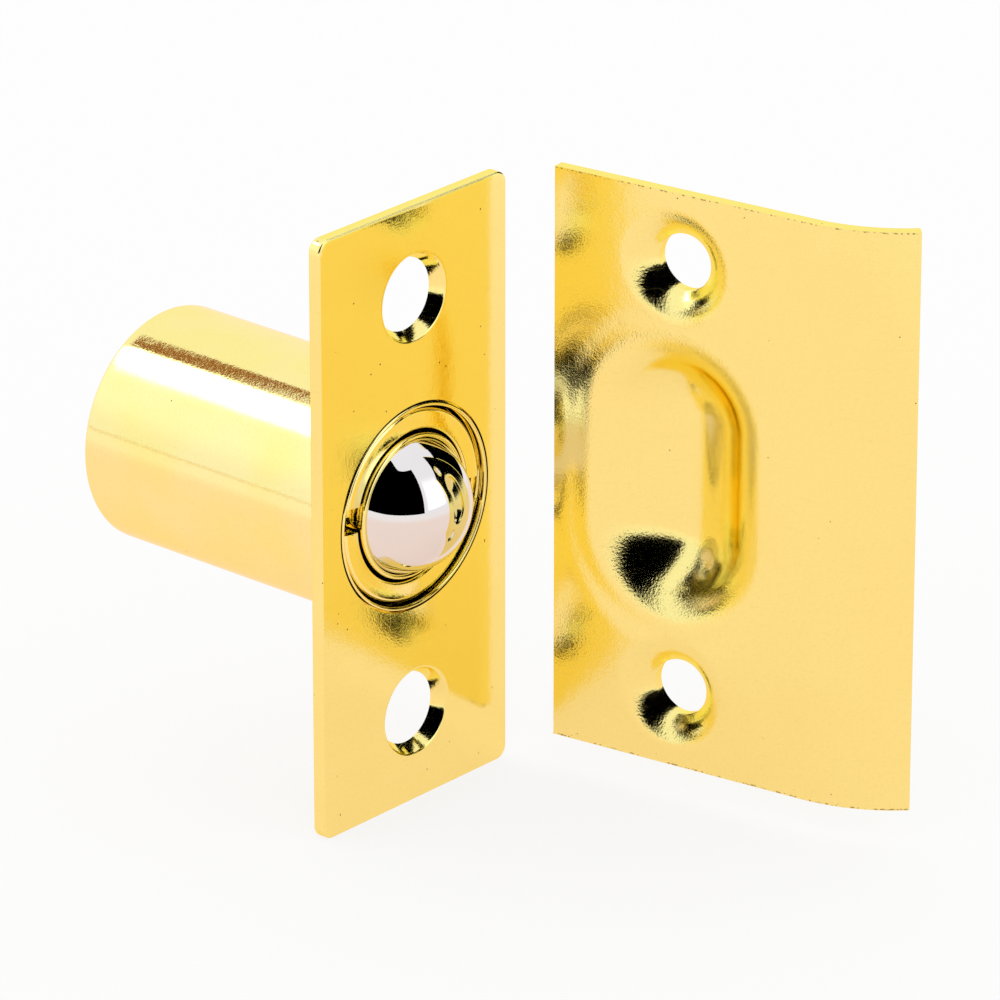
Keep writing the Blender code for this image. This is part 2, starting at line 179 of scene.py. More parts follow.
# Finish of the brass. A scale is how many cells a noise has in a metre, and a span is the part of a
# noise's range that is used. Specks are given by their scale and size
GOLD = (0.99, 0.885, 0.34)
GOLD_WARM = (0.985, 0.87, 0.325)
GOLD_DULL = (0.93, 0.79, 0.28)
DULL_SHARE = 0.30
DRIFT_SCALE = 90.0
DRIFT_SPAN = (0.35, 0.65)
DULL_SCALE = 3600.0
DULL_SPAN = (0.45, 0.75)
TUBE_GOLD = (0.99, 0.88, 0.41)
TUBE_RIM_TINT = (1.0, 0.93, 0.70)
SPECK_COLOUR = (0.20, 0.12, 0.05)
SPECK_SHARE = 0.012
SPECK_SHARE_EDGE = 0.30
COARSE_SPECKS = (900.0, 0.08)
FINE_SPECKS = (1900.0, 0.16)
DASH_SCALE = 620.0
DASH_SIZE = 0.06
DASH_SHARE = 0.10
DASH_STRETCH = (1.0, 1.0, 0.4)
SPECK_ROUGHNESS = 0.3
# Two sets of hairlines: how the noise is stretched and turned, and the span that shows as a line
HAIRLINES = (
    ((260.0, 260.0, 9000.0), (0.5, 0.2, 0.0), (0.66, 0.74)),
    ((9000.0, 9000.0, 300.0), (-0.3, 0.4, 0.2), (0.68, 0.76)),
)
HAIRLINE_ROUGHNESS = 0.12
FINE_GRAIN_SCALE = 5000.0
BROAD_GRAIN_SCALE = 1100.0
FINE_GRAIN = 0.0000050
BROAD_GRAIN = 0.000006
STRETCH_GRAIN = 0.000018
PLATE_ROUGHNESS = 0.09
PLATE_GRAIN = FINE_GRAIN * 1.2
STRIKE_ROUGHNESS = 0.12
STRIKE_GRAIN = FINE_GRAIN * 1.6
TUBE_ROUGHNESS = 0.05
TUBE_GRAIN = FINE_GRAIN * 0.9

# Marks on the strike's mesh: where pressing stretched the sheet, and where its rim is worn
STRETCH_NAME = "stretch"
STRETCH_START = 0.0014
STRETCH_END = 0.0016
WALL_STRETCH = 0.15
RECESS_STRETCHED_RUN = RECESS_SHOULDER * math.sin(RECESS_ANGLE) * 0.8
RECESS_STRETCH_SHARE = 0.4
DIMPLE_STRETCHED_RUN = DIMPLE_SHOULDER * math.sin(DIMPLE_ANGLE) * 0.6
WEAR_NAME = "wear"
WEAR_REACH = 0.0016
RIM_START_SPAN = (0.86, 0.92)
RIM_END_SPAN = (0.97, 0.995)
RIM_SHARE = 0.15
RIM_NOISE_SCALE = 3200.0
RIM_NOISE_DETAIL = 3.0
RIM_NOISE_SPAN = (0.66, 0.76)
RIM_STRENGTH = 0.7

# Steel of the ball, the spring and its seat
BALL_COLOUR = (0.84, 0.82, 0.83)
BALL_ROUGHNESS = 0.02
SPRING_COLOUR = (0.45, 0.45, 0.46)
SPRING_ROUGHNESS = 0.3
STEEL_DRIFT_SCALE = 200.0
STEEL_DRIFT_DETAIL = 3.0
STEEL_DARKER = 0.93
# How far the ball's shading leans out beside the lip, and where along X that ends
BALL_LEAN = 0.42
BALL_LEAN_REAR = -0.0008
BALL_LEAN_FRONT = 0.0016

# Room: the floor, and cards that only the metal sees. A card's corners are (turn, rise) in degrees,
# low left, low right, high right, high left; its last value is how far each edge fades in
BLACK = (0.0, 0.0, 0.0)
WHITE = (1.0, 1.0, 1.0)
ROOM_COLOUR = (1.0, 0.99, 1.0)
FLOOR_Z = PLATE_LOW.z
FLOOR_REACH = 3.0
FLOOR_PAINT = (0.93, 0.93, 0.93)
FLOOR_ROUGHNESS = 0.9
# The floor's glow as the metal sees it: painted warm bounce light and shade near the object, paler far from
# it
NEAR_FLOOR_PAINTED_BOUNCE = (1.0, 0.79, 0.67)
FAR_FLOOR_COLOUR = (1.0, 0.94, 0.88)
FLOOR_NEAR = 0.11
FLOOR_FAR = 0.26
FLOOR_GLOW = 1.05
FLOOR_GLOW_SHARE = 0.8
LINE_COLOUR = (0.85, 0.29, 0.05)
HORIZON_COLOUR = (1.0, 0.84, 0.7)
CARD_STEPS = 24
CARD_DISTANCE = 1.2
GLOW_NAME = "glow"
HARD = (0.0, 0.0, 0.0, 0.0)
CARDS = (
    ("front_dark", ((-50, 1), (37, 1), (48, 72), (2, 72)), BLACK, 0.0, HARD),
    ("right_dark", ((104, -8), (154, -8), (154, 40), (104, 40)), BLACK, 0.0, HARD),
    ("right_light", ((42, 3), (82, 3), (88, 46), (48, 58)), WHITE, 1.45, (0.1, 0.3, 0.05, 0.5)),
    ("top_light", ((-175, 56), (-110, 56), (-110, 80), (-175, 80)), WHITE, 1.7, (0.4, 0.4, 0.4, 0.4)),
    ("back_dark", ((150, 38), (174, 38), (174, 42), (150, 43)), BLACK, 0.0, HARD),
    ("left_light", ((-130, 30), (-94, 30), (-94, 55), (-130, 55)), WHITE, 5.0, (0.15, 0.2, 0.8, 0.25)),
    ("left_glow", ((-120, 1), (-60, 1), (-80, 44), (-120, 44)), WHITE, 1.12, (0.2, 0.2, 0.6, 0.2)),
    ("left_line", ((-147, 47.6), (-130, 47.6), (-130, 50.4), (-147, 50.4)), LINE_COLOUR, 0.35, HARD),
    ("horizon", ((-120, -1.4), (-60, -1.4), (-60, 0.8), (-120, 0.8)), HORIZON_COLOUR, 0.93,
     (0.0, 0.0, 0.4, 0.4)),
)


def clear_defaults():
    for name in ("Cube", "Light", "Camera"):
        if name in bpy.data.objects:
            bpy.data.objects.remove(bpy.data.objects[name])


def add_object(name, data):
    obj = bpy.data.objects.new(name, data)
    bpy.context.scene.collection.objects.link(obj)
    return obj


def mesh_object(name, points, faces, smooth=True):
    mesh = bpy.data.meshes.new(name)
    mesh.from_pydata(points, [], faces)
    mesh.update()
    if smooth:
        mesh.shade_smooth()
    return add_object(name, mesh)


def arc(centre, radius, start, end, steps=ROUND_STEPS):
    """Points (x, r) on an arc; angles run from +x towards +r."""
    points = []
    for step in range(steps + 1):
        angle = start + (end - start) * step / steps
        points.append((centre[0] + radius * math.cos(angle), centre[1] + radius * math.sin(angle)))
    return points


def refined(profile, longest=LONGEST_STEP):
    """The profile with its long straight runs split, so that smooth shading stays flat there."""
    points = [profile[0]]
    for x, r in profile[1:]:
        x0, r0 = points[-1]
        parts = max(1, math.ceil(math.dist((x, r), (x0, r0)) / longest))
        for part in range(1, parts + 1):
            points.append((x0 + (x - x0) * part / parts, r0 + (r - r0) * part / parts))
    return points


def smooth_step(value):
    """0 to 1 by the fifth-degree polynomial with no corner in slope or bend at either end."""
    t = min(max(value, 0.0), 1.0)
    return t * t * t * (t * (6 * t - 15) + 10)


def thread_relief(x, angle):
    """0 at a thread's crest and 1 at its root, at a place along and round the axis."""
    phase = (x / THREAD_PITCH - angle / (2 * math.pi)) % 1.0
    return smooth_step(1.0 - abs(phase - 0.5) / THREAD_SHARE)


def turned(name, profile, relief=None):
    """A closed body turned about X from (x, r) points; relief moves a point in or out."""
    points = []
    rows = len(profile)
    for step in range(TURN_STEPS):
        angle = 2 * math.pi * step / TURN_STEPS
        for x, r in profile:
            if relief:
                r += relief(x, r, angle)
            points.append((x, r * math.cos(angle), r * math.sin(angle)))
    faces = []
    for step in range(TURN_STEPS):
        this = step * rows
        other = (step + 1) % TURN_STEPS * rows
        for row in range(rows):
            after = (row + 1) % rows
            faces.append((this + row, this + after, other + after, other + row))
    return mesh_object(name, points, faces)


def set_material(obj, material):
    obj.data.materials.clear()
    obj.data.materials.append(material)
    return obj


def case_relief(x, r, angle):
    """The thread's groove in the front of the bore, running out at the mouth."""
    wall_middle = BORE_RADIUS + SPIGOT_WALL / 2
    if r >= wall_middle or x <= BORE_THREAD_REAR:
        return 0.0
    run_in = smooth_step((x - BORE_THREAD_REAR) / THREAD_PITCH)
    run_out = smooth_step((wall_middle - r) / (SPIGOT_WALL / 2))
    return THREAD_DEPTH * thread_relief(x, angle) * run_in * run_out


def make_case(material):
    floor = CASE_LOW.x + CASE_FLOOR
    shoulder = -PLATE_THICKNESS - SHOULDER_GAP
    front = CASE_HIGH.x
    spigot = BORE_RADIUS + SPIGOT_WALL
    half_wall = SPIGOT_WALL / 2
    quarter = math.pi / 2
    inner_round = (floor + CASE_INNER_ROUND, BORE_RADIUS - CASE_INNER_ROUND)
    profile = [(floor, AXIS_RADIUS)]
    profile += arc(inner_round, CASE_INNER_ROUND, math.pi, quarter)
    profile += [(BORE_THREAD_REAR, BORE_RADIUS)]
    smooth_bore = refined(profile)
    threaded_bore = refined([smooth_bore[-1], (front - half_wall, BORE_RADIUS)], THREAD_STEP)
    profile = arc((front - half_wall, BORE_RADIUS + half_wall), half_wall, -quarter, quarter)
    profile += [(shoulder, spigot)]
    profile += arc((shoulder - CASE_ROUND, CASE_RADIUS - CASE_ROUND), CASE_ROUND, 0.0, quarter)
    profile += arc((CASE_LOW.x + CASE_ROUND, CASE_RADIUS - CASE_ROUND), CASE_ROUND, quarter, math.pi)
    profile += [(CASE_LOW.x, AXIS_RADIUS)]
    profile = smooth_bore + threaded_bore[1:-1] + refined(profile)
    return set_material(turned("case_smooth", profile, relief=case_relief), material)


def slot_cutter():
    """A bar across the ring's front that cuts both screwdriver slots."""
    half = RING_SLOT_WIDTH / 2
    reach = RING_RADIUS + CUT_MARGIN
    front = RING_HIGH.x + CUT_MARGIN
    back = RING_HIGH.x - RING_SLOT_DEPTH
    corners = [(x, y, z) for x in (back, front) for y in (-reach, reach) for z in (-half, half)]
    faces = [(0, 1, 3, 2), (4, 6, 7, 5), (0, 4, 5, 1), (2, 3, 7, 6), (0, 2, 6, 4), (1, 5, 7, 3)]
    cutter = mesh_object("slot", corners, faces, smooth=False)
    cutter.rotation_euler.x = RING_TURN
    return cutter


def final_mesh(obj):
    """The object's mesh with its modifiers applied."""
    bpy.context.view_layer.update()
    graph = bpy.context.evaluated_depsgraph_get()
    return bpy.data.meshes.new_from_object(obj.evaluated_get(graph))


def make_ring(material):
    inner = (RING_HIGH.x - RING_INNER_ROUND, RING_BORE_RADIUS + RING_INNER_ROUND)
    outer = (RING_HIGH.x - RING_OUTER_ROUND, RING_RADIUS - RING_OUTER_ROUND)
    profile = arc(inner, RING_INNER_ROUND, -math.pi / 2, 0.0)
    profile += arc(outer, RING_OUTER_ROUND, 0.0, math.pi / 2)
    profile += [(RING_LOW.x, RING_RADIUS), (RING_LOW.x, RING_BORE_RADIUS)]
    ring = turned("ring_smooth", profile)
    cutter = slot_cutter()
    cut = ring.modifiers.new("Slots", "BOOLEAN")
    cut.operation = "DIFFERENCE"
    cut.object = cutter
    bevel = ring.modifiers.new("Slot edges", "BEVEL")
    bevel.width = RING_BEVEL
    bevel.segments = RING_BEVEL_STEPS
    bevel.limit_method = "ANGLE"
    bevel.angle_limit = RING_BEVEL_ANGLE
    mesh = final_mesh(ring)
    ring.modifiers.clear()
    ring.data = mesh
    mesh.shade_smooth()
    mesh.set_sharp_from_angle(angle=RING_SHARP_ANGLE)
    bpy.data.objects.remove(cutter)
    return set_material(ring, material)


def make_cage(material):
    bore = CAGE_RADIUS - CAGE_WALL
    middle = (bore + CAGE_RADIUS) / 2
    wrap = math.pi / 2 - CAGE_LIP_WRAP
    rear = CAGE_LOW.x
    lip_end = (BALL_X + middle * math.cos(wrap), middle * math.sin(wrap))
    centre = (BALL_X, 0.0)
    profile = arc(lip_end, CAGE_WALL / 2, wrap - math.pi, wrap)
    profile += arc(centre, CAGE_RADIUS, wrap, math.pi / 2)[1:]
    profile += arc((rear + CAGE_WALL, CAGE_RADIUS - CAGE_WALL), CAGE_WALL, math.pi / 2, math.pi)
    profile += [
        (rear, CAGE_RADIUS - CAGE_REAR_LIP),
        (rear + CAGE_WALL, CAGE_RADIUS - CAGE_REAR_LIP),
        (rear + CAGE_WALL, bore),
    ]
    profile += arc(centre, bore, math.pi / 2, wrap)[:-1]
    return set_material(turned("cage_smooth", refined(profile)), material)


def make_ball(material):
    profile = arc((BALL_X, 0.0), BALL_RADIUS, BALL_POLE_GAP, math.pi - BALL_POLE_GAP, BALL_STEPS)
    return set_material(turned("ball_smooth", profile), material)


def spring_point(turns):
    """A point on the wire's centre line, with one closed turn at each end."""
    length = SPRING_HIGH.x - SPRING_LOW.x - SPRING_WIRE
    open_rise = (length - 2 * SPRING_END_PITCH) / (SPRING_TURNS - 2)
    rise = SPRING_END_PITCH * min(turns, 1) + open_rise * min(max(turns - 1, 0), SPRING_TURNS - 2)
    rise += SPRING_END_PITCH * max(turns - (SPRING_TURNS - 1), 0)
    radius = (SPRING_HIGH.y - SPRING_LOW.y - SPRING_WIRE) / 2
    angle = 2 * math.pi * turns
    x = SPRING_LOW.x + SPRING_WIRE / 2 + rise
    return Vector((x, radius * math.cos(angle), radius * math.sin(angle)))


def make_spring(material):
    curve = bpy.data.curves.new("spring_wire", "CURVE")
    curve.dimensions = "3D"
    curve.bevel_depth = SPRING_WIRE / 2
    curve.bevel_resolution = SPRING_ROUND_STEPS
    curve.use_fill_caps = True
    steps = SPRING_TURNS * SPRING_STEPS_PER_TURN
    spline = curve.splines.new("POLY")
    spline.points.add(steps)
    for index, point in enumerate(spline.points):
        point.co = (*spring_point(SPRING_TURNS * index / steps), 1.0)
    wire = add_object("spring_wire", curve)
    mesh = final_mesh(wire)
    bpy.data.objects.remove(wire)
    spring = add_object("spring_smooth", mesh)
    mesh.shade_smooth()
    mesh.set_sharp_from_angle(angle=SPRING_SHARP_ANGLE)
    return set_material(spring, material)


def stadium_inset(across, up, half_width, half_length):
    """How far a point lies inside a slot-shaped outline."""
    reach = half_length - half_width
    along = max(abs(up) - reach, 0.0)
    return half_width - math.hypot(across, along)


def rectangle_outline(left, right, bottom, top, corner):
    """Points round a rectangle whose given corners are round; corner maps (side, end) to a radius."""
    points = []
    for side, end, quarter in ((1, 1, 0), (-1, 1, 1), (-1, -1, 2), (1, -1, 3)):
        radius = corner.get((side, end), 0.0)
        x = right if side > 0 else left
        y = top if end > 0 else bottom
        if radius:
            start = quarter * math.pi / 2
            centre = (x - side * radius, y - end * radius)
            points += arc(centre, radius, start, start + math.pi / 2, CORNER_STEPS)
        else:
            points.append((x, y))
    outline = []
    for index, (x, y) in enumerate(points):
        x1, y1 = points[(index + 1) % len(points)]
        parts = max(1, math.ceil(math.dist((x, y), (x1, y1)) / SHEET_STEP - WHOLE_SLACK))
        for part in range(parts):
            outline.append((x + (x1 - x) * part / parts, y + (y1 - y) * part / parts))
    return outline


def cell_rows(outline, centre, radius, front, back, wall=()):
    """Rows of a sheet's cell with a round hole: front face in to the hole, its wall, back face out.

    front and back turn (across, up) into a place; wall lists (radius, depth) points.
    """
    far = max(math.dist(point, centre) for point in outline)
    steps = max(CELL_LEAST_ROWS, math.ceil((far - radius) / SHEET_STEP / CELL_ROW_STEP))
    rows = []

    def ring_point(point, part, hole_radius):
        angle = math.atan2(point[1] - centre[1], point[0] - centre[0])
        edge = (centre[0] + hole_radius * math.cos(angle), centre[1] + hole_radius * math.sin(angle))
        return (edge[0] + (point[0] - edge[0]) * part, edge[1] + (point[1] - edge[1]) * part)

    for step in range(steps, -1, -1):
        part = (step / steps) ** CELL_CROWDING
        rows.append([front(*ring_point(point, part, radius)) for point in outline])
    for hole_radius, depth in wall:
        row = []
        for point in outline:
            across, up = ring_point(point, 0.0, hole_radius)
            row.append(front(across, up, depth))
        rows.append(row)
    back_radius = wall[-1][0] if wall else radius
    for step in range(steps + 1):
        part = (step / steps) ** CELL_CROWDING
        rows.append([back(*ring_point(point, part, back_radius)) for point in outline])
    return rows


def add_rows(points, faces, rows, closed=True):
    """Joins each row of points to the next with quads."""
    start = len(points)
    count = len(rows[0])
    for row in rows:
        points.extend(row)
    for index in range(len(rows) - 1):
        for step in range(count if closed else count - 1):
            after = (step + 1) % count
            this = start + index * count
            other = this + count
            faces.append((this + step, this + after, other + after, other + step))


def weld(obj):
    shell = bmesh.new()
    shell.from_mesh(obj.data)
    bmesh.ops.remove_doubles(shell, verts=shell.verts, dist=WELD_DISTANCE)
    bmesh.ops.recalc_face_normals(shell, faces=shell.faces)
    shell.to_mesh(obj.data)
    shell.free()


def screw_hole_wall():
    """(radius, depth) points down a screw hole: a rounded mouth, then one slight cone."""
    wall = []
    for inwards, depth in SCREW_MOUTH_SECTION:
        wall.append((SCREW_MOUTH_RADIUS - inwards * SCREW_MOUTH_ROUND, depth * SCREW_MOUTH_ROUND))
    start_radius, start_depth = wall[-1]
    for step in range(1, HOLE_STEPS + 1):
        part = step / HOLE_STEPS
        radius = start_radius + (SCREW_BACK_RADIUS - start_radius) * part
        wall.append((radius, start_depth + (PLATE_THICKNESS - start_depth) * part))
    return wall


def grown(point, half_width, half_height, corner, out):
    """A point of the round-cornered outline, moved straight out of it."""
    across, up = point
    inner = (half_width - corner, half_height - corner)
    dx = max(abs(across) - inner[0], 0.0) * math.copysign(1, across)
    dy = max(abs(up) - inner[1], 0.0) * math.copysign(1, up)
    size = math.hypot(dx, dy)
    return (across + out * dx / size, up + out * dy / size)


def plate_rim(half_width, half_height, corner):
    """Rows round the faceplate's edge, from its front face to its back face."""
    corners = {(x, y): corner for x in (1, -1) for y in (1, -1)}
    outline = rectangle_outline(-half_width, half_width, -half_height, half_height, corners)
    quarter = math.pi / 2
    section = arc((-PLATE_EDGE_ROUND, 0.0), PLATE_EDGE_ROUND, 0.0, quarter, RIM_STEPS)
    section += arc((-PLATE_THICKNESS + PLATE_EDGE_ROUND, 0.0), PLATE_EDGE_ROUND, quarter, math.pi, RIM_STEPS)
    rows = []
    for x, out in section:
        rows.append([(x, *grown(point, half_width, half_height, corner, out)) for point in outline])
    return rows


def make_faceplate(material):
    half_width = PLATE_WIDTH / 2 - PLATE_EDGE_ROUND
    half_height = PLATE_HEIGHT / 2 - PLATE_EDGE_ROUND
    corner = PLATE_CORNER - PLATE_EDGE_ROUND

    def front(across, up, depth=0.0):
        return (-depth, across, up)

    def back(across, up):
        return (-PLATE_THICKNESS, across, up)

    screw_wall = screw_hole_wall()
    case_wall = [(PLATE_HOLE_RADIUS, PLATE_THICKNESS)]
    cells = (
        (CELL_SPLIT, half_height, 1, screw_wall),
        (-CELL_SPLIT, CELL_SPLIT, 0, case_wall),
        (-half_height, -CELL_SPLIT, -1, screw_wall),
    )
    points = []
    faces = []
    for bottom, top, end, wall in cells:
        corners = {(side, end): corner for side in (1, -1)} if end else {}
        outline = rectangle_outline(-half_width, half_width, bottom, top, corners)
        centre = (0.0, end * PLATE_SCREW_SPACING / 2)
        add_rows(points, faces, cell_rows(outline, centre, wall[0][0], front, back, wall))
    add_rows(points, faces, plate_rim(half_width, half_height, corner))
    plate = mesh_object("faceplate_smooth", points, faces)
    weld(plate)
    plate.data.shade_smooth()
    plate.data.set_sharp_from_angle(angle=SHEET_SHARP_ANGLE)
    return set_material(plate, material)


def wall_depth(inset, run, angle, shoulder, toe):
    """How deep a pressed wall is at an inset: shoulder arc, straight wall, toe arc, floor."""
    shoulder_run = shoulder * math.sin(angle)
    toe_run = toe * math.sin(angle)
    straight_run = run - shoulder_run - toe_run
    floor = (shoulder + toe) * (1 - math.cos(angle)) + straight_run * math.tan(angle)
    if inset <= 0.0:
        depth = 0.0
    elif inset < shoulder_run:
        depth = shoulder - math.sqrt(shoulder**2 - inset**2)
    elif inset < run - toe_run:
        depth = shoulder * (1 - math.cos(angle)) + (inset - shoulder_run) * math.tan(angle)
    elif inset < run:
        depth = floor - toe + math.sqrt(toe**2 - (run - inset) ** 2)
    else:
        depth = floor
    return depth


def press_depth(across, up):
    """How far the strike's front is pressed back at a point."""
    inset = stadium_inset(across, up, RECESS_HALF_WIDTH, RECESS_HALF_LENGTH)
    depth = wall_depth(inset, RECESS_RUN, RECESS_ANGLE, RECESS_SHOULDER, RECESS_TOE)
    depth += DRAW_DEPTH * smooth_step(1.0 + inset / DRAW_REACH)
    for side in (1, -1):
        inset = DIMPLE_RADIUS - math.hypot(across, up - side * STRIKE_SCREW_SPACING / 2)
        depth += wall_depth(inset, DIMPLE_RUN, DIMPLE_ANGLE, DIMPLE_SHOULDER, DIMPLE_TOE)
    return depth


def bent(across, up, depth):
    """A place on the strike: the flat, and past its end the curved lip."""
    flat_end = STRIKE_FLAT_WIDTH - RECESS_FROM_EDGE
    if across <= flat_end:
        place = Vector((-depth, across, up))
    else:
        angle = (across - flat_end) / STRIKE_LIP_RADIUS
        radius = STRIKE_LIP_RADIUS - depth
        forwards = radius * math.cos(angle) - STRIKE_LIP_RADIUS
        place = Vector((forwards, flat_end + radius * math.sin(angle), up))
    return place


def strike_front(across, up, depth=0.0):
    return bent(across, up, press_depth(across, up) + depth)


def strike_back(across, up):
    """The front moved back by the sheet's thickness, square to its surface."""
    here = strike_front(across, up)
    along = strike_front(across + SLOPE_STEP, up) - strike_front(across - SLOPE_STEP, up)
    above = strike_front(across, up + SLOPE_STEP) - strike_front(across, up - SLOPE_STEP)
    normal = along.cross(above).normalized()
    return here - normal * STRIKE_THICKNESS


def shoulder_stretch(inset, shoulder_run):
    """How far a pressing's sheet is stretched: full on the shoulder, little on the wall below it."""
    rise = smooth_step(inset / STRETCH_START + 0.5)
    fall = 1.0 - smooth_step((inset - shoulder_run) / STRETCH_END)
    return rise * (WALL_STRETCH + (1.0 - WALL_STRETCH) * fall)


def press_stretch(across, up):
    """How far the strike's sheet is stretched at a point, 0 to 1."""
    recess = stadium_inset(across, up, RECESS_HALF_WIDTH, RECESS_HALF_LENGTH)
    stretch = shoulder_stretch(recess, RECESS_STRETCHED_RUN)
    stretch *= 1.0 - smooth_step(recess / RECESS_RUN - RECESS_STRETCH_SHARE)
    for side in (1, -1):
        dimple = DIMPLE_RADIUS - math.hypot(across, up - side * STRIKE_SCREW_SPACING / 2)
        stretch = max(stretch, shoulder_stretch(dimple, DIMPLE_STRETCHED_RUN))
    return stretch


def sheet_wear(across, up, right, half):
    """1 on the sheet's right, low and high rims, fading to 0 a little way in; the left has no wear."""
    inset = min(right - across, half - abs(up))
    return max(0.0, 1.0 - inset / WEAR_REACH)


def add_values(obj, name, values):
    attribute = obj.data.attributes.new(name, "FLOAT", "POINT")
    attribute.data.foreach_set("value", values)


def mark_strike(strike, right, half):
    """Where the sheet was stretched and where its rim is worn, for the finish."""
    stretch = []
    wear = []
    for vert in strike.data.vertices:
        across, up = vert.co.y, vert.co.z
        stretch.append(press_stretch(across, up))
        wear.append(sheet_wear(across, up, right, half))
    add_values(strike, STRETCH_NAME, stretch)
    add_values(strike, WEAR_NAME, wear)


def on_rim(point, after, left, right, half):
    """Whether a stretch of a cell's outline lies on the sheet's own edge."""
    for axis, edge in ((0, left), (0, right), (1, -half), (1, half)):
        if abs(point[axis] - edge) < SAME_PLACE and abs(after[axis] - edge) < SAME_PLACE:
            return True
    return False


def add_strike_ends(points, faces, left, right, half):
    """The strike's two cells that each have a dimple with a screw hole."""
    for side in (1, -1):
        bottom, top = sorted((side * STRIKE_SPLIT, side * half))
        outline = rectangle_outline(left, right, bottom, top, {})
        centre = (0.0, side * STRIKE_SCREW_SPACING / 2)
        add_rows(points, faces, cell_rows(outline, centre, STRIKE_HOLE_RADIUS, strike_front, strike_back))


def add_strike_middle(points, faces, left, right):
    """The strike's middle cell, front and back, as one grid that holds the recess."""
    columns = math.ceil((right - left) / SHEET_STEP - WHOLE_SLACK)
    levels = math.ceil(2 * STRIKE_SPLIT / SHEET_STEP - WHOLE_SLACK)
    places = [left + (right - left) * column / columns for column in range(columns + 1)]
    for surface in (strike_front, strike_back):
        rows = []
        for level in range(levels + 1):
            up = -STRIKE_SPLIT + 2 * STRIKE_SPLIT * level / levels
            rows.append([surface(across, up) for across in places])
        add_rows(points, faces, rows, closed=False)


def add_strike_rim(points, faces, left, right, half):
    """The sheared edge that joins the strike's front to its back."""
    for bottom, top in ((-half, -STRIKE_SPLIT), (-STRIKE_SPLIT, STRIKE_SPLIT), (STRIKE_SPLIT, half)):
        outline = rectangle_outline(left, right, bottom, top, {})
        for index, point in enumerate(outline):
            after = outline[(index + 1) % len(outline)]
            if on_rim(point, after, left, right, half):
                front_row = [strike_front(*point), strike_front(*after)]
                back_row = [strike_back(*point), strike_back(*after)]
                add_rows(points, faces, [front_row, back_row], closed=False)


def make_strike(material):
    left = -RECESS_FROM_EDGE
    right = STRIKE_FLAT_WIDTH - RECESS_FROM_EDGE + STRIKE_LIP_RADIUS * STRIKE_LIP_ANGLE
    half = STRIKE_HEIGHT / 2
    points = []
    faces = []
    add_strike_ends(points, faces, left, right, half)
    add_strike_middle(points, faces, left, right)
    add_strike_rim(points, faces, left, right, half)
    strike = mesh_object("strike_smooth", [tuple(point) for point in points], faces)
    weld(strike)
    mark_strike(strike, right, half)
    strike.data.shade_smooth()
    strike.data.set_sharp_from_angle(angle=SHEET_SHARP_ANGLE)
    strike.location = (STRIKE_EDGE.x, STRIKE_EDGE.y, STRIKE_LOW.z)
    strike.rotation_euler.z = STRIKE_TURN
    bpy.context.view_layer.update()
    strike.data.transform(strike.matrix_world @ Matrix.Translation((0.0, RECESS_FROM_EDGE, half)))
    strike.location = (0, 0, 0)
    strike.rotation_euler.z = 0.0
    return set_material(strike, material)


def new_material(name):
    material = bpy.data.materials.new(name)
    material.use_nodes = True
    tree = material.node_tree
    return material, tree, tree.nodes["Principled BSDF"]


def add_node(tree, kind, **inputs):
    node = tree.nodes.new(kind)
    for key, value in inputs.items():
        node.inputs[key].default_value = value
    return node


def mixed_colour(tree, factor, first, second):
    """A colour that runs from the first to the second with the factor."""
    mix = tree.nodes.new("ShaderNodeMix")
    mix.data_type = "RGBA"
    tree.links.new(factor, mix.inputs["Factor"])
    for socket, value in (("A", first), ("B", second)):
        if isinstance(value, tuple):
            mix.inputs[socket].default_value = (*value, 1.0)
        else:
            tree.links.new(value, mix.inputs[socket])
    return mix.outputs["Result"]


def mapped(tree, value, low, high, start=0.0, end=1.0):
    """The value's low..high stretched smoothly to start..end."""
    node = tree.nodes.new("ShaderNodeMapRange")
    node.interpolation_type = "SMOOTHSTEP"
    node.inputs["From Min"].default_value = low
    node.inputs["From Max"].default_value = high
    node.inputs["To Min"].default_value = start
    node.inputs["To Max"].default_value = end
    tree.links.new(value, node.inputs["Value"])
    return node.outputs["Result"]


def combined(tree, operation, first, second):
    """Maths on two sockets or numbers."""
    node = tree.nodes.new("ShaderNodeMath")
    node.operation = operation
    for index, value in enumerate((first, second)):
        if isinstance(value, (int, float)):
            node.inputs[index].default_value = value
        else:
            tree.links.new(value, node.inputs[index])
    return node.outputs["Value"]


def noise(tree, place, scale, detail=2.0, stretch=(1.0, 1.0, 1.0), turn=(0.0, 0.0, 0.0)):
    """Noise in metres of the object, stretched and turned for lines."""
    mapping = tree.nodes.new("ShaderNodeMapping")
    mapping.inputs["Scale"].default_value = stretch
    mapping.inputs["Rotation"].default_value = turn
    tree.links.new(place, mapping.inputs["Vector"])
    node = add_node(tree, "ShaderNodeTexNoise", Scale=scale, Detail=detail)
    tree.links.new(mapping.outputs["Vector"], node.inputs["Vector"])
    return node.outputs["Fac"]


def specks(tree, place, scale, size, share, stretch=(1.0, 1.0, 1.0)):
    """Small round spots, or dashes where they are stretched, in a share of the cells."""
    mapping = tree.nodes.new("ShaderNodeMapping")
    mapping.inputs["Scale"].default_value = stretch
    tree.links.new(place, mapping.inputs["Vector"])
    cells = add_node(tree, "ShaderNodeTexVoronoi", Scale=scale)
    tree.links.new(mapping.outputs["Vector"], cells.inputs["Vector"])
    split = tree.nodes.new("ShaderNodeSeparateColor")
    tree.links.new(cells.outputs["Color"], split.inputs["Color"])
    chosen = combined(tree, "LESS_THAN", split.outputs["Red"], share)
    size_here = combined(tree, "MULTIPLY", split.outputs["Green"], size)
    spot = combined(tree, "LESS_THAN", cells.outputs["Distance"], size_here)
    return combined(tree, "MULTIPLY", chosen, spot)


